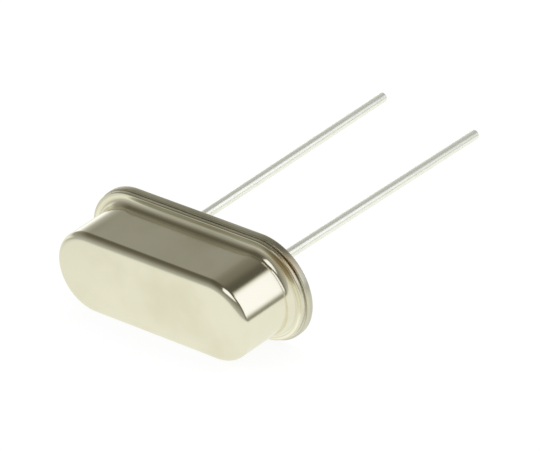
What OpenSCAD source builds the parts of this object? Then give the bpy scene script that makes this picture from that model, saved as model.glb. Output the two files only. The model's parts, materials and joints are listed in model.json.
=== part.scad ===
// Quartz crystal unit: a low metal can, resistance welded to a base with two glass-sealed leads.
// The pieces are drawn upright, leads down, with the underside of the base at z = 0.
// at_rest() then lays them on the broad side, with the middle of the whole footprint at the origin.

/* [Can] */
// Length of the can's body
can_length = 10.2; // [9.6:0.01:10.6]
// Width of the can's body, and so the diameter of its round ends
can_width = 3.7; // [3.4:0.01:3.75]
// Top of the can above the underside of the base
can_height = 3.4; // [3.2:0.01:4.2]
// Thickness of the can's sheet
can_sheet = 0.2; // [0.16:0.01:0.24]
// Outer radius of the edge round the can's top
can_top_radius = 0.34; // [0.3:0.01:0.5]
// Radius where the can's wall turns out into its flange
can_root_radius = 0.33; // [0.3:0.01:0.34]
// Radius at the can's mouth, on the inside of the same turn
can_mouth_radius = 0.36; // [0.3:0.01:0.4]

/* [Rim] */
// Length of the base's flange
flange_length = 11.36; // [11.2:0.01:11.6]
// Width of the base's flange
flange_width = 4.73; // [4.7:0.01:5]
// Thickness of the base's flange
flange_sheet = 0.32; // [0.25:0.01:0.35]
// How much less the can's flange reaches out than the base's flange
can_flange_inset = 0.08; // [0.06:0.01:0.1]
// How far the can's flange sits off the middle, away from the side that the part lies on
can_flange_offset = 0.05; // [0:0.01:0.05]
// Rounding of the stamped edges of both flanges
edge_radius = 0.05; // [0.02:0.01:0.07]
// Height that is left of the weld ridge between the two flanges
weld_gap = 0.05; // [0.04:0.01:0.12]
// Width of the weld ridge
weld_width = 0.16; // [0.1:0.01:0.18]
// How far the weld ridge stays inside the edge of the base's flange
weld_inset = 0.19; // [0.14:0.01:0.2]

/* [Base and seals] */
// Top of the base's raised middle above its underside
plateau_height = 0.95; // [0.7:0.01:1.05]
// Play between the base's raised middle and the inside of the can
plateau_play = 0.1; // [0.05:0.01:0.2]
// Diameter of each glass seal
seal_diameter = 1.5; // [1.1:0.01:1.8]
// How far the glass stays back from both faces of the base
seal_recess = 0.05; // [0.02:0.01:0.1]
// Radius of the glass where it climbs the lead
seal_climb = 0.12; // [0.05:0.01:0.14]

/* [Leads] */
// Diameter of the leads
lead_diameter = 0.43; // [0.38:0.01:0.5]
// Distance between the leads at the base
lead_pitch = 4.88; // [4.6:0.01:5.1]
// Length of the left lead below the base
left_lead_length = 14.1; // [10:0.1:16]
// Length of the right lead below the base
right_lead_length = 14.2; // [10:0.1:16]
// How far each lead stands above the base's raised middle
lead_rise = 0.25; // [0.16:0.01:0.3]
// Distance from the base at which the leads begin to lean
lean_start = 0.5; // [0.3:0.05:2]
// Angle by which the left lead leans
left_lean_angle = 0.6; // [0.5:0.1:4]
// Way in which the left lead leans, from 0 at the right lead to 90 away from the side that the part lies on
left_lean_way = 39; // [0:1:90]
// Angle by which the right lead leans
right_lean_angle = 1.3; // [0.5:0.1:4]
// Way in which the right lead leans, from 0 away from the left lead to -90 at the side that the part lies on
right_lean_way = -73; // [-90:1:0]

/* [Quartz plate] */
// Length of the quartz plate
quartz_length = 7.9; // [7.2:0.01:8.4]
// Width of the quartz plate, which stands on its long edge
quartz_width = 1.6; // [1.5:0.01:1.62]
// Thickness of the quartz plate
quartz_thickness = 0.1; // [0.08:0.005:0.2]
// Length of the electrodes' middle field
electrode_length = 4.4; // [3.6:0.1:5]
// Width of the electrodes' middle field
electrode_width = 1.2; // [1:0.05:1.4]
// Width of the strip that leads from an electrode to the plate's end
electrode_strip = 0.5; // [0.3:0.05:0.6]
// Thickness of the electrodes' film
electrode_film = 0.01; // [0.005:0.001:0.015]

/* [Clips] */
// Thickness of the clips' sheet
clip_sheet = 0.1; // [0.06:0.01:0.14]
// Width of the clips
clip_width = 0.9; // [0.8:0.05:1.3]
// How far a clip's foot reaches past the middle of its lead
clip_heel = 0.25; // [0.22:0.01:0.4]
// Height of the slot's floor above the foot of the clip
clip_lift = 0.1; // [0.05:0.01:0.12]
// How much of the plate's width stands in the slot
clip_hold = 1.3; // [1.2:0.05:1.4]
// How far the plate's end reaches through the clip
clip_grip = 0.15; // [0.05:0.01:0.2]
// Play on each side of the plate in the slot
slot_play = 0.02; // [0.01:0.005:0.04]
// Radius of the drop of conductive adhesive on each clip
bond_radius = 0.38; // [0.34:0.01:0.39]

/* [Hidden] */
$fn = 96;
cut_play = 1; // how far cutting forms run past the surfaces that they cut

// Heights above the underside of the base, from the rim up to the top of the quartz plate
can_flange_bottom = flange_sheet + weld_gap;
can_flange_top = can_flange_bottom + can_sheet;
can_ceiling = can_height - can_sheet;
lead_top = plateau_height + lead_rise;
clip_foot_top = lead_top + clip_sheet;
quartz_bottom = clip_foot_top + clip_lift;
quartz_middle = quartz_bottom + quartz_width / 2;
clip_top = quartz_bottom + clip_hold;

// Distances from the middle
can_centres = can_length - can_width;
flange_centres = flange_length - flange_width;
can_inner_radius = can_width / 2 - can_sheet;
can_flange_reach = flange_width / 2 - can_flange_inset;
lead_radius = lead_diameter / 2;
lead_place = lead_pitch / 2;
clip_face = quartz_length / 2 - clip_grip;
coated_thickness = quartz_thickness + 2 * electrode_film;

// Which way the leads point where they end
left_lead_way = leaning(left_lean_angle, left_lean_way);
right_lead_way = leaning(right_lean_angle, right_lean_way);

// The part lies on the edge round the can's top and on the edge of one of the two flanges.
// Seen along the can, each flange gives a line that touches both edges, and the steeper line counts.
top_centre = [can_width / 2 - can_top_radius, can_height - can_top_radius];
base_edge_centre = [flange_width / 2 - edge_radius, flange_sheet - edge_radius];
can_edge_centre = [can_flange_reach - can_flange_offset - edge_radius, can_flange_top - edge_radius];
rest_tilt = max(touching_tilt(base_edge_centre), touching_tilt(can_edge_centre));
rest_height = top_centre * [cos(rest_tilt), sin(rest_tilt)] + can_top_radius;

// How far the part reaches to the front and to the back once it lies there
toward_back = [0, -sin(rest_tilt), -cos(rest_tilt)];
front_reach = top_centre * [sin(rest_tilt), cos(rest_tilt)] + can_top_radius;
back_reach = max(end_reach(left_lead_length, left_lead_way), end_reach(right_lead_length, right_lead_way));

// Tilt of the line that touches the can's top edge and the edge of a flange
function touching_tilt(edge_centre) =
  atan2(edge_centre.y - top_centre.y, edge_centre.x - top_centre.x)
  + acos((can_top_radius - edge_radius) / norm(edge_centre - top_centre));

// Which way a lead points that leans by an angle toward a side
function leaning(angle, side) = [sin(angle) * cos(side), sin(angle) * sin(side), -cos(angle)];

// How far a lead's round end reaches to the back
function end_reach(length, way) =
  ((length - lean_start) * way - [0, 0, lean_start]) * toward_back
  + lead_radius * norm(toward_back - (toward_back * way) * way);

// Lays an upright piece on its broad side
module at_rest() {
  translate([0, (front_reach - back_reach) / 2, rest_height]) rotate([90 + rest_tilt, 0, 0])
    children();
}

// Sweeps a half section, drawn to the right of the middle, along a straight stretch and round its ends
module oblong(centres) {
  for (end = [0, 180])
    rotate([0, 0, end]) translate([centres / 2, 0, 0]) rotate([0, 0, -90])
      rotate_extrude(angle = 180) children();
  rotate([90, 0, 90]) linear_extrude(height = centres, center = true) {
    children();
    mirror([1, 0]) children();
  }
}

// Half section of a flange, with its stamped edge rounded
module flange_section(reach, sheet) {
  square([reach - edge_radius, sheet]);
  translate([0, edge_radius]) square([reach, sheet - 2 * edge_radius]);
  for (height = [edge_radius, sheet - edge_radius])
    translate([reach - edge_radius, height]) circle(edge_radius);
}

// Half section of a cup's form from its open end up, with a rounded top edge
module cup_section(reach, top, corner) {
  square([reach, top - corner]);
  square([reach - corner, top]);
  translate([reach - corner, top - corner]) circle(corner);
}

// Half section of the fillet that leads from a wall out into a flat face
module root_section(reach, height, corner) {
  difference() {
    translate([0, height]) square([reach + corner, corner]);
    translate([reach + corner, height + corner]) circle(corner);
  }
}

module can_outside() {
  translate([0, 0, can_flange_bottom])
    oblong(can_centres) cup_section(can_width / 2, can_height - can_flange_bottom, can_top_radius);
  oblong(can_centres) root_section(can_width / 2, can_flange_top, can_root_radius);
  translate([0, can_flange_offset, can_flange_bottom])
    oblong(flange_centres) flange_section(can_flange_reach, can_sheet);
}

module can_inside() {
  oblong(can_centres) cup_section(can_inner_radius, can_ceiling, can_top_radius - can_sheet);
  oblong(can_centres) root_section(can_inner_radius, can_flange_bottom, can_mouth_radius);
}

module can() {
  color([0.80, 0.77, 0.69]) at_rest() difference() {
    can_outside();
    can_inside();
  }
}

// Ridge on the base's flange that melts to weld the can on
module weld_ridge() {
  translate([0, 0, flange_sheet]) difference() {
    oblong(flange_centres) square([flange_width / 2 - weld_inset, weld_gap]);
    translate([0, 0, -cut_play]) oblong(flange_centres)
      square([flange_width / 2 - weld_inset - weld_width, weld_gap + 2 * cut_play]);
  }
}

module base() {
  color([0.72, 0.69, 0.62]) at_rest() difference() {
    union() {
      oblong(flange_centres) flange_section(flange_width / 2, flange_sheet);
      oblong(can_centres) square([can_inner_radius - plateau_play, plateau_height]);
      weld_ridge();
    }
    for (side = [-1, 1])
      translate([side * lead_place, 0, -cut_play])
        cylinder(h = plateau_height + 2 * cut_play, d = seal_diameter);
  }
}

// Corner of glass between the face of a seal and its lead
module climb_section() {
  difference() {
    square(seal_climb);
    translate([seal_climb, seal_climb]) circle(seal_climb);
  }
}

module glass_seal() {
  glass_top = plateau_height - seal_recess;
  rotate_extrude() {
    translate([lead_radius, seal_recess]) square([seal_diameter / 2 - lead_radius, glass_top - seal_recess]);
    translate([lead_radius, glass_top]) climb_section();
    translate([lead_radius, seal_recess]) mirror([0, 1]) climb_section();
  }
}

module glass_seal_left() {
  color([0.30, 0.34, 0.32]) at_rest() translate([-lead_place, 0, 0]) glass_seal();
}

module glass_seal_right() {
  color([0.30, 0.34, 0.32]) at_rest() translate([lead_place, 0, 0]) glass_seal();
}

// Removes what lies past the plane that halves the angle between the two stretches of a lead
module mitre(up, lean_angle) {
  rotate([0, -lean_angle / 2, 0]) translate([0, 0, up * cut_play]) cube(2 * cut_play, center = true);
}

// Straight stretch through the glass, and the long stretch below it, which leans a little
module lead(length, lean_angle, lean_way) {
  lean_length = length - lean_start;
  translate([0, 0, -lean_start]) rotate([0, 0, lean_way]) {
    difference() {
      translate([0, 0, -lead_radius])
        cylinder(h = lead_radius + lean_start + lead_top, r = lead_radius);
      mitre(-1, lean_angle);
    }
    difference() {
      rotate([0, -lean_angle, 0]) translate([0, 0, -lean_length])
        cylinder(h = lean_length + lead_radius, r = lead_radius);
      mitre(1, lean_angle);
    }
  }
}

module lead_left() {
  color([0.84, 0.82, 0.77]) at_rest() translate([-lead_place, 0, 0])
    lead(left_lead_length, left_lean_angle, left_lean_way);
}

module lead_right() {
  color([0.84, 0.82, 0.77]) at_rest() translate([lead_place, 0, 0])
    lead(right_lead_length, right_lean_angle, right_lean_way);
}

// Strip welded to the top of a lead, turned up at the plate's end, with a slot open at the top
module clip() {
  clip_back = clip_face - clip_sheet;
  slot_width = coated_thickness + 2 * slot_play;
  difference() {
    union() {
      translate([lead_place - clip_heel, -clip_width / 2, lead_top])
        cube([clip_face - lead_place + clip_heel, clip_width, clip_sheet]);
      translate([clip_back, -clip_width / 2, lead_top])
        cube([clip_sheet, clip_width, clip_top - lead_top]);
    }
    translate([clip_back - cut_play, -slot_width / 2, quartz_bottom])
      cube([clip_sheet + 2 * cut_play, slot_width, clip_hold + cut_play]);
  }
}

module clip_left() {
  color([0.75, 0.75, 0.73]) at_rest() mirror([1, 0, 0]) clip();
}

module clip_right() {
  color([0.75, 0.75, 0.73]) at_rest() clip();
}

module plate_form(thickness) {
  translate([-quartz_length / 2, -thickness / 2, quartz_bottom])
    cube([quartz_length, thickness, quartz_width]);
}

module quartz_plate() {
  color([0.85, 0.90, 0.92]) at_rest() plate_form(quartz_thickness);
}

// Film on the plate's upper face, with its strip to the left end of the plate
module electrode() {
  translate([0, quartz_thickness / 2, quartz_middle]) {
    translate([-electrode_length / 2, 0, -electrode_width / 2])
      cube([electrode_length, electrode_film, electrode_width]);
    translate([-quartz_length / 2, 0, -electrode_strip / 2])
      cube([quartz_length / 2, electrode_film, electrode_strip]);
  }
}

module electrode_upper() {
  color([0.88, 0.88, 0.86]) at_rest() electrode();
}

module electrode_lower() {
  color([0.88, 0.88, 0.86]) at_rest() rotate([0, 0, 180]) electrode();
}

// Drop of adhesive on the outer face of a clip, round the end of the plate and the film that reaches it
module bond() {
  difference() {
    translate([clip_face, 0, quartz_middle]) sphere(r = bond_radius);
    translate([clip_face - cut_play, -cut_play, quartz_middle - cut_play])
      cube([cut_play, 2 * cut_play, 2 * cut_play]);
    plate_form(quartz_thickness);
    rotate([0, 0, 180]) electrode();
  }
}

module bond_left() {
  color([0.66, 0.66, 0.65]) at_rest() rotate([0, 0, 180]) bond();
}

module bond_right() {
  color([0.66, 0.66, 0.65]) at_rest() bond();
}

can();
base();
glass_seal_left();
glass_seal_right();
lead_left();
lead_right();
clip_left();
clip_right();
quartz_plate();
electrode_upper();
electrode_lower();
bond_left();
bond_right();
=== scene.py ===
import json
import math

import bmesh
import bpy
from mathutils import Matrix, Vector


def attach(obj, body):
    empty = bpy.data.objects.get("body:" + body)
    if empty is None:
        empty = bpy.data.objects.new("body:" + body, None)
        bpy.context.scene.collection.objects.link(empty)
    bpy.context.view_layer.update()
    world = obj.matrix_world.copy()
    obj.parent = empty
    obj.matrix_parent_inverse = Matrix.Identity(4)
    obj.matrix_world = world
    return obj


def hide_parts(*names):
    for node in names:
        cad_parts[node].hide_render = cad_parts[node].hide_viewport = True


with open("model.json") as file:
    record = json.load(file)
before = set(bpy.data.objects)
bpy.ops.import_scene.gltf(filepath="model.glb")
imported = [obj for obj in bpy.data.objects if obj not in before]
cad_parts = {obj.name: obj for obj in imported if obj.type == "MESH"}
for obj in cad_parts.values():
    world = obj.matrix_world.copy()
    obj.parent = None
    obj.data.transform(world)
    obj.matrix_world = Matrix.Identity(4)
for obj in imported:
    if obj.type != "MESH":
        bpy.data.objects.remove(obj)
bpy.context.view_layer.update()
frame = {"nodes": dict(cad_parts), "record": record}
nodes = frame["nodes"]
mounts = {mount["name"]: mount for mount in frame["record"]["mounts"]}
mm = 0.001
print("frame loaded:", len(nodes), "CAD nodes")

# The crystal lies on its broad side. Its pieces are drawn upright in millimetres, leads down,
# and layDown turns them into the frame.
seat = mounts["seating_plane"]
upright = -Vector(seat["axis"])
sideways = Vector((1, 0, 0))
layDown = Matrix((sideways, upright.cross(sideways), upright)).transposed().to_4x4()
layDown.translation = seat["pos_m"]
layDown = layDown @ Matrix.Scale(mm, 4)
standUp = layDown.inverted()


def uprightBox(node):
    points = [standUp @ v.co for v in nodes[node].data.vertices]
    low = Vector(min(p[i] for p in points) for i in range(3))
    high = Vector(max(p[i] for p in points) for i in range(3))
    return low, high


view = dict(
    aim=(1.562, -3.122, 3.790),  # mm in the frame, like the distance
    distance=208.87,
    azimuth=40.116,  # degrees from the front to the right
    elevation=22.808,
    roll=1.907,
    lens=346.0,
    sensor=36,
    clip=(0.01, 20),
)


def makeCamera():
    azimuth, elevation = math.radians(view["azimuth"]), math.radians(view["elevation"])
    back = Vector((
        math.sin(azimuth) * math.cos(elevation),
        -math.cos(azimuth) * math.cos(elevation),
        math.sin(elevation),
    ))
    camera = bpy.data.objects.new("camera", bpy.data.cameras.new("camera"))
    bpy.context.scene.collection.objects.link(camera)
    camera.location = (Vector(view["aim"]) + view["distance"] * back) * mm
    turned = (-back).to_track_quat("-Z", "Y").to_matrix()
    turned = turned @ Matrix.Rotation(math.radians(view["roll"]), 3, "Z")
    camera.rotation_euler = turned.to_euler()
    camera.data.lens = view["lens"]
    camera.data.sensor_width = view["sensor"]
    camera.data.clip_start, camera.data.clip_end = view["clip"]
    bpy.context.scene.camera = camera


makeCamera()
bpy.context.scene.view_settings.view_transform = "Standard"
print("camera placed")


class Wire:
    # One socket of a shader. Arithmetic on it adds Math nodes
    def __init__(self, shader, node, output=0):
        self.shader = shader
        self.node = node
        self.socket = node.outputs[output] if node.outputs else None

    def out(self, output):
        return Wire(self.shader, self.node, output)

    def math(self, operation, *values):
        return self.shader.add("Math", dict(operation=operation), dict(enumerate(values)))

    def __add__(self, other):
        return self.math("ADD", self, other)

    def __radd__(self, other):
        return self.math("ADD", other, self)

    def __sub__(self, other):
        return self.math("SUBTRACT", self, other)

    def __rsub__(self, other):
        return self.math("SUBTRACT", other, self)

    def __mul__(self, other):
        return self.math("MULTIPLY", self, other)

    def __rmul__(self, other):
        return self.math("MULTIPLY", other, self)

    def __truediv__(self, other):
        return self.math("DIVIDE", self, other)

    def atLeast(self, other):
        return self.math("MAXIMUM", self, other)

    def atMost(self, other):
        return self.math("MINIMUM", self, other)

    def ramp(self, low, high, fromValue=0.0, toValue=1.0):
        # Smooth step from fromValue at low to toValue at high
        values = {0: self, 1: low, 2: high, 3: fromValue, 4: toValue}
        return self.shader.add("MapRange", dict(interpolation_type="SMOOTHSTEP"), values)

    def band(self, low, high, soft):
        return self.ramp(low - soft, low + soft) * self.ramp(high - soft, high + soft, 1.0, 0.0)


class Shader:
    def __init__(self, owner):
        owner.use_nodes = True
        self.tree = owner.node_tree
        self.tree.nodes.clear()

    def add(self, kind, settings=None, values=None):
        node = self.tree.nodes.new("ShaderNode" + kind)
        for name, setting in (settings or {}).items():
            setattr(node, name, setting)
        for name, value in (values or {}).items():
            if isinstance(value, Wire):
                self.tree.links.new(value.socket, node.inputs[name])
            else:
                node.inputs[name].default_value = value
        return Wire(self, node)

    def vector(self, operation, *values):
        return self.add("VectorMath", dict(operation=operation), dict(enumerate(values)))

    def mixColours(self, share, first, second, blend="MIX"):
        settings = dict(data_type="RGBA", blend_type=blend)
        return self.add("Mix", settings, {0: share, 6: first, 7: second}).out(2)

    def position(self, scale=(1, 1, 1)):
        # Place on the object in millimetres, stretched by scale
        return self.vector("MULTIPLY", self.add("TexCoord").out("Object"), Vector(scale) / mm)

    def fromSeat(self, place, way):
        # How far along a way a place lies from the middle of the underside
        return self.vector("DOT_PRODUCT", place, way).out("Value") - way.dot(Vector(seat["pos_m"])) / mm

    def noise(self, place, scale, detail, roughness=0.5):
        values = dict(Vector=place, Scale=scale, Detail=detail, Roughness=roughness)
        return self.add("TexNoise", None, values)

    def bump(self, height, strength, distance, under=None):
        values = dict(Strength=strength, Distance=distance * mm, Height=height)
        if under:
            values["Normal"] = under
        return self.add("Bump", None, values)

    def surface(self, values):
        self.finish("OutputMaterial", self.add("BsdfPrincipled", None, values))

    def finish(self, output, wire):
        self.add(output, None, dict(Surface=wire))


def newMaterial(name):
    material = bpy.data.materials.new(name)
    return material, Shader(material)


def grey(level):
    return (level, level, level, 1)


white = grey(1)

nickel = dict(
    colour=(0.84, 0.82, 0.72, 1),
    haze=(0.77, 0.745, 0.63, 1),
    hazeRange=(0.4, 0.75),
    cloud=(0.35, 3.0),  # scale for each mm, detail and roughness of a noise
    grain=(22.0, 3.0, 0.6),
    roughness=0.11,
    cloudRough=0.05,
    cloudRoughRange=(0.35, 0.7),
    grainRough=0.03,
    waves=(0.15, 0.02),  # strength and depth in mm
    grainBump=(0.02, 0.002),
    flangeTop=0.6,  # mm above the underside
    flangeInner=1.95,  # mm from the middle line
    flangeSoft=0.05,
    streakCount=(9.0, 0.3),  # for each mm across the flanges and along them
    streakDetail=2.0,
    streakRange=(0.35, 0.65),
    streakShade=(0.86, 1.12),
    heat=(0.80, 0.68, 0.52, 1),  # painted dark brown reflection on the flange at the bend at the right
    heatPlace=(4.65, 1.5, 0.65),
    heatReach=(0.2, 1.1),
    rimTop=0.53,  # mm above the underside; below it the colour is painted darker as painted shade, and it is rougher
    rimSoft=0.02,
    rimShade=0.87,
    rimRoughness=0.22,
)


def nickelPlate(name):
    material, shader = newMaterial(name)
    place = shader.position()
    cloud = shader.noise(place, *nickel["cloud"])
    grain = shader.noise(place, *nickel["grain"])
    ways = (sideways, upright.cross(sideways), upright)
    along, across, height = [shader.fromSeat(place, way) for way in ways]
    rimTop, rimSoft, rimShade = nickel["rimTop"], nickel["rimSoft"], nickel["rimShade"]
    rim = height.ramp(rimTop - rimSoft, rimTop + rimSoft, 1.0, 0.0)
    colour = shader.mixColours(cloud.ramp(*nickel["hazeRange"]), nickel["colour"], nickel["haze"])
    # Painted shade: the colour of the rims is darker below rimTop
    colour = shader.mixColours(rim, colour, grey(rimShade), "MULTIPLY")
    # Fine lines run round the flanges
    flangeTop, flangeInner, soft = nickel["flangeTop"], nickel["flangeInner"], nickel["flangeSoft"]
    high = uprightBox("base")[1]
    past = (along.math("ABSOLUTE", along) - (high.x - high.y)).atLeast(0.0)
    reach = across.math("SQRT", past * past + across * across)
    close, loose = nickel["streakCount"]
    lines = {0: reach * close, 1: height * close, 2: along * loose}
    streak = shader.noise(shader.add("CombineXYZ", None, lines), 1.0, nickel["streakDetail"])
    streak = streak.ramp(*nickel["streakRange"], *nickel["streakShade"])
    flange = height.ramp(flangeTop, flangeTop + soft, 1.0, 0.0)
    flange = flange * reach.ramp(flangeInner - soft, flangeInner + soft)
    streak = 1.0 + flange * (streak - 1.0)
    colour = shader.add("VectorMath", dict(operation="SCALE"), {0: colour, "Scale": streak})
    # A dark brown reflection is painted onto the flange at the bend at the right
    spot = shader.add("CombineXYZ", None, {0: along, 1: across, 2: height})
    heat = shader.vector("DISTANCE", spot, nickel["heatPlace"]).out("Value")
    heat = heat.ramp(*nickel["heatReach"], 1.0, 0.0) * flange
    colour = shader.mixColours(heat, colour, nickel["heat"], "MULTIPLY")
    cloudRough = nickel["cloudRough"] * cloud.ramp(*nickel["cloudRoughRange"])
    roughness = nickel["roughness"] + cloudRough + nickel["grainRough"] * grain
    roughness = roughness + nickel["rimRoughness"] * rim
    normal = shader.bump(grain, *nickel["grainBump"], shader.bump(cloud, *nickel["waves"]))
    shader.surface({"Base Color": colour, "Metallic": 1.0, "Roughness": roughness, "Normal": normal})
    return material


tin = dict(
    colour=(0.97, 0.99, 0.94, 1),
    haze=(0.94, 0.96, 0.91, 1),
    hazeRange=(0.4, 0.7),
    drawn=(14, 0.6, 14),  # stretched along the wire
    drawnBump=(0.006, 0.001),
    cloudScale=1.4,
    detail=3.0,
    metallic=0.65,
    roughness=0.27,
    uneven=0.08,
)


def tinPlate():
    material, shader = newMaterial("tinPlate")
    drawn = shader.noise(shader.position(tin["drawn"]), 1.0, tin["detail"])
    cloud = shader.noise(shader.position(), tin["cloudScale"], tin["detail"])
    values = {"Metallic": tin["metallic"], "Roughness": tin["roughness"] + tin["uneven"] * cloud}
    values["Base Color"] = shader.mixColours(cloud.ramp(*tin["hazeRange"]), tin["colour"], tin["haze"])
    values["Normal"] = shader.bump(drawn, *tin["drawnBump"])
    shader.surface(values)
    return material


glass = dict(
    dark=(0.020, 0.026, 0.024, 1),
    pale=(0.045, 0.055, 0.050, 1),
    paleRange=(0.35, 0.7),
    cloud=(3.0, 4.0),
    bump=(0.2, 0.01),
    roughness=0.08,
    uneven=0.08,
    index=1.52,
    coat=0.4,
)


def sealingGlass():
    material, shader = newMaterial("sealingGlass")
    cloud = shader.noise(shader.position(), *glass["cloud"])
    values = {"IOR": glass["index"], "Coat Weight": glass["coat"]}
    pale = cloud.ramp(*glass["paleRange"])
    values["Base Color"] = shader.mixColours(pale, glass["dark"], glass["pale"])
    values["Roughness"] = glass["roughness"] + glass["uneven"] * cloud
    values["Normal"] = shader.bump(cloud, *glass["bump"])
    shader.surface(values)
    return material


innerSheet = dict(
    clip=((0.74, 0.73, 0.70, 1), 0.25, 12.0),  # colour, roughness, grain for each mm
    film=((0.90, 0.89, 0.86, 1), 0.15, 20.0),
    detail=3.0,
    shadeRange=(0.35, 0.7),
    shade=0.85,
    uneven=0.1,
    bump=(0.1, 0.003),
)


def innerMetal(name, colour, roughness, scale):
    material, shader = newMaterial(name)
    grain = shader.noise(shader.position(), scale, innerSheet["detail"])
    shaded = tuple(innerSheet["shade"] * c for c in colour[:3]) + (1,)
    values = {"Metallic": 1.0, "Roughness": roughness + innerSheet["uneven"] * grain}
    values["Base Color"] = shader.mixColours(grain.ramp(*innerSheet["shadeRange"]), colour, shaded)
    values["Normal"] = shader.bump(grain, *innerSheet["bump"])
    shader.surface(values)
    return material


quartz = dict(
    colour=(0.80, 0.85, 0.88, 1),
    pale=(0.88, 0.92, 0.94, 1),
    paleRange=(0.3, 0.7),
    grain=(30.0, 4.0),
    bump=(0.2, 0.002),
    roughness=0.25,
    uneven=0.2,
    index=1.544,
    alpha=0.6,
)


def lappedQuartz():
    material, shader = newMaterial("lappedQuartz")
    grain = shader.noise(shader.position(), *quartz["grain"])
    values = {"IOR": quartz["index"], "Alpha": quartz["alpha"]}
    pale = grain.ramp(*quartz["paleRange"])
    values["Base Color"] = shader.mixColours(pale, quartz["colour"], quartz["pale"])
    values["Roughness"] = quartz["roughness"] + quartz["uneven"] * grain
    values["Normal"] = shader.bump(grain, *quartz["bump"])
    shader.surface(values)
    return material


paste = dict(
    colour=(0.50, 0.50, 0.49, 1),
    flake=(0.70, 0.70, 0.69, 1),
    flakeRange=(0.4, 0.6),
    shineRange=(0.45, 0.6),
    flakes=(40.0, 5.0, 0.7),
    bump=(0.4, 0.01),
    roughness=0.5,
)


def silverPaste():
    material, shader = newMaterial("silverPaste")
    flakes = shader.noise(shader.position(), *paste["flakes"])
    values = {"Metallic": flakes.ramp(*paste["shineRange"]), "Roughness": paste["roughness"]}
    flake = flakes.ramp(*paste["flakeRange"])
    values["Base Color"] = shader.mixColours(flake, paste["colour"], paste["flake"])
    values["Normal"] = shader.bump(flakes, *paste["bump"])
    shader.surface(values)
    return material


canPlate = nickelPlate("canPlate")
basePlate = nickelPlate("basePlate")
leadTin = tinPlate()
sealGlass = sealingGlass()
innerFinishes = {
    "clip_left": innerMetal("clipSheet", *innerSheet["clip"]),
    "quartz_plate": lappedQuartz(),
    "electrode_upper": innerMetal("silverFilm", *innerSheet["film"]),
    "bond_left": silverPaste(),
}
innerFinishes["clip_right"] = innerFinishes["clip_left"]
innerFinishes["electrode_lower"] = innerFinishes["electrode_upper"]
innerFinishes["bond_right"] = innerFinishes["bond_left"]
for node, material in innerFinishes.items():
    nodes[node].data.materials.clear()
    nodes[node].data.materials.append(material)
print("finishes made")


def arc(centre, radius, start, end, steps, half=0.0):
    # Points of a section on an arc from start to end, in degrees from the outward way
    turns = [math.radians(start + (end - start) * i / steps) for i in range(steps + 1)]
    return [(half, centre[0] + radius * math.cos(t), centre[1] + radius * math.sin(t)) for t in turns]


def oblongPath(endSteps, straightSteps):
    # Stations round an oblong from the middle of its right end: (share of the half straight, turn)
    quarter = [(1.0, 0.5 * math.pi * i / endSteps) for i in range(endSteps)]
    along = [(1 - i / straightSteps, 0.5 * math.pi) for i in range(straightSteps)]
    half = quarter + along
    mirrored = [(-share, math.pi - turn) for share, turn in reversed(half)]
    first = half + [(0.0, 0.5 * math.pi)] + mirrored
    return first + [(share, -turn) for share, turn in reversed(first[1:-1])]


def loft(mesh, rows):
    # Joins closed rows of points with faces and returns their vertices
    made = [[mesh.verts.new(p) for p in row] for row in rows]
    for low, high in zip(made, made[1:]):
        for i in range(len(low)):
            j = (i + 1) % len(low)
            mesh.faces.new((low[i], low[j], high[j], high[i]))
    return made


def oblongRows(section, path, shift=0.0):
    rows = []
    for half, reach, height in section:
        spots = [(share * half + reach * math.cos(turn), reach * math.sin(turn)) for share, turn in path]
        rows.append([(x, y + shift, height) for x, y in spots])
    return rows


def fullTurn(steps):
    return [2 * math.pi * i / steps for i in range(steps)]


def roundRows(section, centre, steps):
    return [
        [(centre + reach * math.cos(turn), reach * math.sin(turn), height) for turn in fullTurn(steps)]
        for _, reach, height in section
    ]


def capOblong(mesh, ring):
    # Closes a mirrored ring with rungs across it
    last = len(ring)
    for i in range(last // 2):
        corners = [ring[i], ring[i + 1], ring[last - i - 1], ring[(last - i) % last]]
        mesh.faces.new(list(dict.fromkeys(corners)))


def capBetween(mesh, rings):
    # Fills the flat area inside the first ring and outside the others
    edges = [mesh.edges.get((ring[i - 1], ring[i])) for ring in rings for i in range(len(ring))]
    bmesh.ops.triangle_fill(mesh, use_beauty=True, use_dissolve=False, edges=edges)


def finishPiece(mesh, name, material, node):
    bmesh.ops.recalc_face_normals(mesh, faces=mesh.faces)
    data = bpy.data.meshes.new(name)
    mesh.to_mesh(data)
    mesh.free()
    data.transform(layDown)
    data.materials.append(material)
    data.shade_smooth()
    piece = bpy.data.objects.new(name, data)
    bpy.context.scene.collection.objects.link(piece)
    weighted = piece.modifiers.new("flatFacesFirst", "WEIGHTED_NORMAL")
    weighted.keep_sharp = True
    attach(piece, "root")
    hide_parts(node)


# Sizes of the pieces are in millimetres, in their upright place
can = dict(
    length=10.2,
    width=3.7,
    sheet=0.2,
    topRadius=0.34,
    rootRadius=0.33,
    mouthRadius=0.36,
    edgeRadius=0.05,
    outerSteps=16,
    edgeSteps=6,
    mouthSteps=10,
    innerSteps=8,
    endSteps=64,
    straightSteps=8,
)


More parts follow.
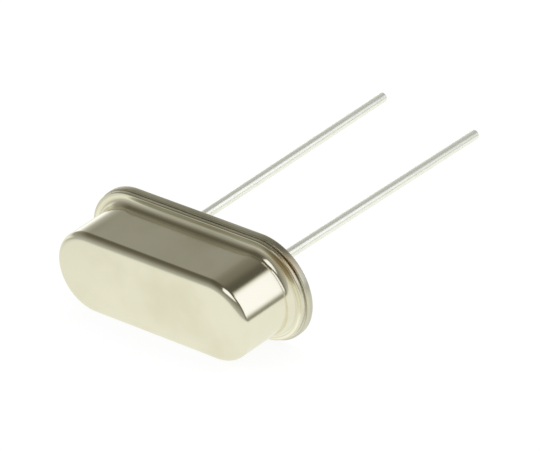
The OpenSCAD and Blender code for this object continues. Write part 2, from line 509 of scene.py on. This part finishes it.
def makeCan():
    low, high = uprightBox("can")
    wall, sheet = can["width"] / 2, can["sheet"]
    half = (can["length"] - can["width"]) / 2
    flangeReach, flangeShift = (high.y - low.y) / 2, (high.y + low.y) / 2
    flangeHalf = high.x - flangeReach
    top, bottom = high.z, low.z
    face = bottom + sheet
    innerWall, ceiling = wall - sheet, top - sheet
    corner, root = can["topRadius"], can["rootRadius"]
    mouth, edge = can["mouthRadius"], can["edgeRadius"]
    innerCorner = corner - sheet
    outerSteps, edgeSteps = can["outerSteps"], can["edgeSteps"]
    outside = arc((wall - corner, top - corner), corner, 90, 0, outerSteps, half)
    outside += arc((wall + root, face + root), root, 180, 270, outerSteps, half)
    flange = arc((flangeReach - edge, face - edge), edge, 90, 0, edgeSteps, flangeHalf)
    flange += arc((flangeReach - edge, bottom + edge), edge, 0, -90, edgeSteps, flangeHalf)
    inside = arc((innerWall + mouth, bottom + mouth), mouth, 270, 180, can["mouthSteps"], half)
    centre = (innerWall - innerCorner, ceiling - innerCorner)
    inside += arc(centre, innerCorner, 0, 90, can["innerSteps"], half)
    path = oblongPath(can["endSteps"], can["straightSteps"])
    mesh = bmesh.new()
    rows = oblongRows(outside, path) + oblongRows(flange, path, flangeShift) + oblongRows(inside, path)
    rings = loft(mesh, rows)
    capOblong(mesh, rings[0])
    capOblong(mesh, rings[-1])
    finishPiece(mesh, "can_shell", canPlate, "can")


makeCan()
print("can made")


base = dict(
    flangeSheet=0.32,
    edgeRadius=0.05,
    ridgeGap=0.05,
    ridgeWidth=0.16,
    ridgeInset=0.19,
    play=0.1,
    holeEdge=0.03,
    edgeSteps=6,
    topSteps=4,
    holeEdgeSteps=4,
    endSteps=64,
    straightSteps=8,
    holeSteps=72,
)


def makeBase():
    high = uprightBox("base")[1]
    sheet, edge = base["flangeSheet"], base["edgeRadius"]
    reach, flangeHalf = high.y, high.x - high.y
    half = (can["length"] - can["width"]) / 2
    plateau = can["width"] / 2 - can["sheet"] - base["play"]
    ridgeOut = reach - base["ridgeInset"]
    ridgeIn = ridgeOut - base["ridgeWidth"]
    ridgeTop = sheet + base["ridgeGap"]
    edgeSteps = base["edgeSteps"]
    section = arc((reach - edge, edge), edge, -90, 0, edgeSteps, flangeHalf)
    section += arc((reach - edge, sheet - edge), edge, 0, 90, edgeSteps, flangeHalf)
    section += [(flangeHalf, ridgeOut, sheet), (flangeHalf, ridgeOut, ridgeTop)]
    section += [(flangeHalf, ridgeIn, ridgeTop), (flangeHalf, ridgeIn, sheet)]
    section += [(half, plateau, sheet)]
    section += arc((plateau - edge, high.z - edge), edge, 0, 90, base["topSteps"], half)
    mesh = bmesh.new()
    rings = loft(mesh, oblongRows(section, oblongPath(base["endSteps"], base["straightSteps"])))
    bottoms, tops = [rings[0]], [rings[-1]]
    rim, rimSteps = base["holeEdge"], base["holeEdgeSteps"]
    for side in ("left", "right"):
        sealLow, sealHigh = uprightBox("glass_seal_" + side)
        radius = (sealHigh.y - sealLow.y) / 2
        hole = arc((radius + rim, rim), rim, 270, 180, rimSteps)
        hole += arc((radius + rim, high.z - rim), rim, 180, 90, rimSteps)
        walls = loft(mesh, roundRows(hole, (sealLow.x + sealHigh.x) / 2, base["holeSteps"]))
        bottoms.append(walls[0])
        tops.append(walls[-1])
    capBetween(mesh, bottoms)
    capBetween(mesh, tops)
    finishPiece(mesh, "base_plate", basePlate, "base")


makeBase()
print("base made")


seal = dict(
    climb=0.12,
    climbSteps=8,
    rimClimb=0.05,
    rimSteps=5,
    steps=72,
    join=1e-6,  # points this close are one
)


def makeSeal(side):
    low, high = uprightBox("glass_seal_" + side)
    leadRadius = mounts["lead_" + side]["dims"]["r_mm"]
    outer = (high.y - low.y) / 2
    climb, climbSteps = seal["climb"], seal["climbSteps"]
    rim, rimSteps = seal["rimClimb"], seal["rimSteps"]
    bottom, top = low.z + climb, high.z - climb
    section = arc((outer - rim, bottom - rim), rim, 0, 90, rimSteps)
    section += arc((leadRadius + climb, bottom - climb), climb, 90, 180, climbSteps)
    section += arc((leadRadius + climb, top + climb), climb, 180, 270, climbSteps)
    section += arc((outer - rim, top + rim), rim, -90, 0, rimSteps)
    mesh = bmesh.new()
    rings = loft(mesh, roundRows(section + section[:1], (low.x + high.x) / 2, seal["steps"]))
    bmesh.ops.remove_doubles(mesh, verts=rings[0] + rings[-1], dist=seal["join"])
    finishPiece(mesh, "seal_" + side, sealGlass, "glass_seal_" + side)


makeSeal("left")
makeSeal("right")
print("glass seals made")


lead = dict(
    bendReach=0.25,
    bendSteps=6,
    tipRound=0.035,
    tipSteps=3,
    around=48,
)


def makeLead(side):
    high = uprightBox("lead_" + side)[1]
    mount = mounts["lead_" + side]
    radius, length = mount["dims"]["r_mm"], mount["dims"]["length_mm"]
    way = (standUp.to_3x3() @ Vector(mount["axis"])).normalized()
    middle = standUp @ Vector(mount["pos_m"])
    bend, tip = middle - way * length / 2, middle + way * length / 2
    down = Vector((0, 0, -1))
    stations = [(Vector((bend.x, bend.y, high.z)), down, radius)]
    before, after = bend - down * lead["bendReach"], bend + way * lead["bendReach"]
    for i in range(lead["bendSteps"] + 1):
        share = i / lead["bendSteps"]
        place = before.lerp(bend, share).lerp(bend.lerp(after, share), share)
        stations.append((place, down.lerp(way, share).normalized(), radius))
    for i in range(lead["tipSteps"] + 1):
        turn = 0.5 * math.pi * i / lead["tipSteps"]
        back = lead["tipRound"] * (1 - math.sin(turn))
        stations.append((tip - way * back, way, radius - lead["tipRound"] * (1 - math.cos(turn))))
    rows = []
    for place, along, reach in stations:
        turned = down.rotation_difference(along)
        ring = [Vector((reach * math.cos(t), reach * math.sin(t), 0)) for t in fullTurn(lead["around"])]
        rows.append([place + turned @ spot for spot in ring])
    mesh = bmesh.new()
    rings = loft(mesh, rows)
    mesh.faces.new(rings[0])
    mesh.faces.new(rings[-1])
    finishPiece(mesh, "wire_" + side, leadTin, "lead_" + side)


makeLead("left")
makeLead("right")
print("leads made")


studio = dict(
    floorSize=8.0,
    floorGlow=0.89,
    floorPaint=0.14,
    floorBounce=0.8,
    poolCentre=(0.012, 0.008, 0),  # in metres, like the pool's two radii
    pool=(0.019, 0.05),
    domeRadius=2.0,
    domeSegments=(64, 32),
    # Levels of the room. Its angles are in degrees, and azimuths run from the back to the right
    dim=0.11,
    horizon=0.18,
    horizonFall=12.0,
    sweep=0.95,
    sweepFall=27.0,
    sweepFoot=0.5,
    sweepFootFade=(4, 22),
    sweepLeft=(-74, -50),
    sweepRight=(-27, 17),
    leftGlow=0.45,
    leftSpan=(-108, -64, 12),
    leftFade=(3, 14),
    front=0.23,
    backSpan=(-66, 100, 15),
    frontFade=(10, 60),
    softboxLevel=1.39,
    softboxes=((34, 82, 7, 57), (112, 178, 42, 76)),
    softboxEdge=6.0,
    tint=(0.964, 0.963, 0.84, 1),
    warm=(1.0, 0.92, 0.76, 1),
    warmRange=(0.1, 0.5),
    cool=(0.87, 0.87, 1.0, 1),
    coolRange=(0.95, 1.25),
)
def roomLevel(azimuth, height):
    # The room is brightest over the sweep behind the object, and dims upward
    fall = height.math("EXPONENT", height / -studio["horizonFall"])
    fade = height.math("EXPONENT", height / -studio["sweepFall"])
    across = azimuth.ramp(*studio["sweepLeft"]) * azimuth.ramp(*studio["sweepRight"], 1.0, 0.0)
    foot = height.ramp(*studio["sweepFootFade"], studio["sweepFoot"], 0.0)
    sweep = across * (studio["sweep"] * fade + foot)
    front = height.ramp(*studio["frontFade"], studio["front"], 0.0)
    front = (1.0 - azimuth.band(*studio["backSpan"])) * front
    left = height.ramp(*studio["leftFade"], studio["leftGlow"], 0.0)
    left = azimuth.band(*studio["leftSpan"]) * left
    return studio["dim"] + studio["horizon"] * fall + sweep + front + left


def tintedGlow(shader, level):
    # The dim parts of the room are a little warm and the softboxes a little cool
    tint = shader.mixColours(level.ramp(*studio["warmRange"]), studio["warm"], white)
    tint = shader.mixColours(level.ramp(*studio["coolRange"]), tint, studio["cool"])
    tint = shader.mixColours(1.0, tint, studio["tint"], "MULTIPLY")
    glow = shader.add("VectorMath", dict(operation="SCALE"), {0: tint, "Scale": level})
    return shader.add("Emission", None, {"Color": glow, "Strength": 1.0})


def addBackdrop(name, data, material):
    data.materials.append(material)
    backdrop = bpy.data.objects.new(name, data)
    bpy.context.scene.collection.objects.link(backdrop)
    return backdrop


def makeFloor():
    material, shader = newMaterial("paleFloor")
    path = shader.add("LightPath")
    seen = (path.out("Is Camera Ray") + path.out("Is Transmission Ray")).atMost(1.0)
    paint = shader.add("BsdfDiffuse", None, {"Color": grey(studio["floorBounce"])})
    thin = shader.add("BsdfDiffuse", None, {"Color": grey(studio["floorPaint"])})
    glow = shader.add("Emission", None, {"Color": white, "Strength": studio["floorGlow"]})
    pale = shader.add("AddShader", None, {0: thin, 1: glow})
    shown = shader.add("MixShader", None, {0: seen, 1: paint, 2: pale})
    # In reflections the floor is lit round the object and falls off to the room's horizon
    place = shader.add("TexCoord").out("Object")
    away = shader.vector("DISTANCE", place, studio["poolCentre"]).out("Value")
    parts = shader.add("SeparateXYZ", None, {0: place})
    azimuth = parts.math("ARCTAN2", parts, parts.out(1)) * math.degrees(1)
    level = roomLevel(azimuth, parts.out(2))
    pool = away.ramp(*studio["pool"], 1.0, 0.0)
    mirrored = tintedGlow(shader, level + pool * (1.0 - level))
    both = shader.add("MixShader", None, {0: path.out("Is Glossy Ray"), 1: shown, 2: mirrored})
    shader.finish("OutputMaterial", both)
    reach = studio["floorSize"] / 2
    data = bpy.data.meshes.new("floor")
    corners = [(-reach, -reach, 0), (reach, -reach, 0), (reach, reach, 0), (-reach, reach, 0)]
    data.from_pydata(corners, [], [(0, 1, 2, 3)])
    floor = addBackdrop("floor", data, material)


def makeStudio():
    # A dome that only reflections see, with a softbox at the back right and one high at the front right
    material, shader = newMaterial("studioDome")
    way = shader.vector("NORMALIZE", shader.add("TexCoord").out("Object"))
    parts = shader.add("SeparateXYZ", None, {0: way})
    azimuth = parts.math("ARCTAN2", parts, parts.out(1)) * math.degrees(1)
    elevation = parts.math("ARCSINE", parts.out(2)) * math.degrees(1)
    level = roomLevel(azimuth, elevation.atLeast(0.0))
    edge = studio["softboxEdge"]
    for left, right, bottom, top in studio["softboxes"]:
        panel = azimuth.band(left, right, edge) * elevation.band(bottom, top, edge)
        level = level + panel * (studio["softboxLevel"] - level)
    shader.finish("OutputMaterial", tintedGlow(shader, level))
    mesh = bmesh.new()
    across, up = studio["domeSegments"]
    bmesh.ops.create_uvsphere(mesh, u_segments=across, v_segments=up, radius=studio["domeRadius"])
    data = bpy.data.meshes.new("studioDome")
    mesh.to_mesh(data)
    mesh.free()
    dome = addBackdrop("studioDome", data, material)
    dome.visible_camera = False
    dome.visible_diffuse = False
    dome.visible_transmission = False
    dome.visible_shadow = False


def makeWorld():
    world = bpy.data.worlds.new("world")
    bpy.context.scene.world = world
    shader = Shader(world)
    shader.finish("OutputWorld", shader.add("Background", None, {"Color": white, "Strength": 1.0}))


makeFloor()
makeStudio()
makeWorld()
print("floor and studio made")
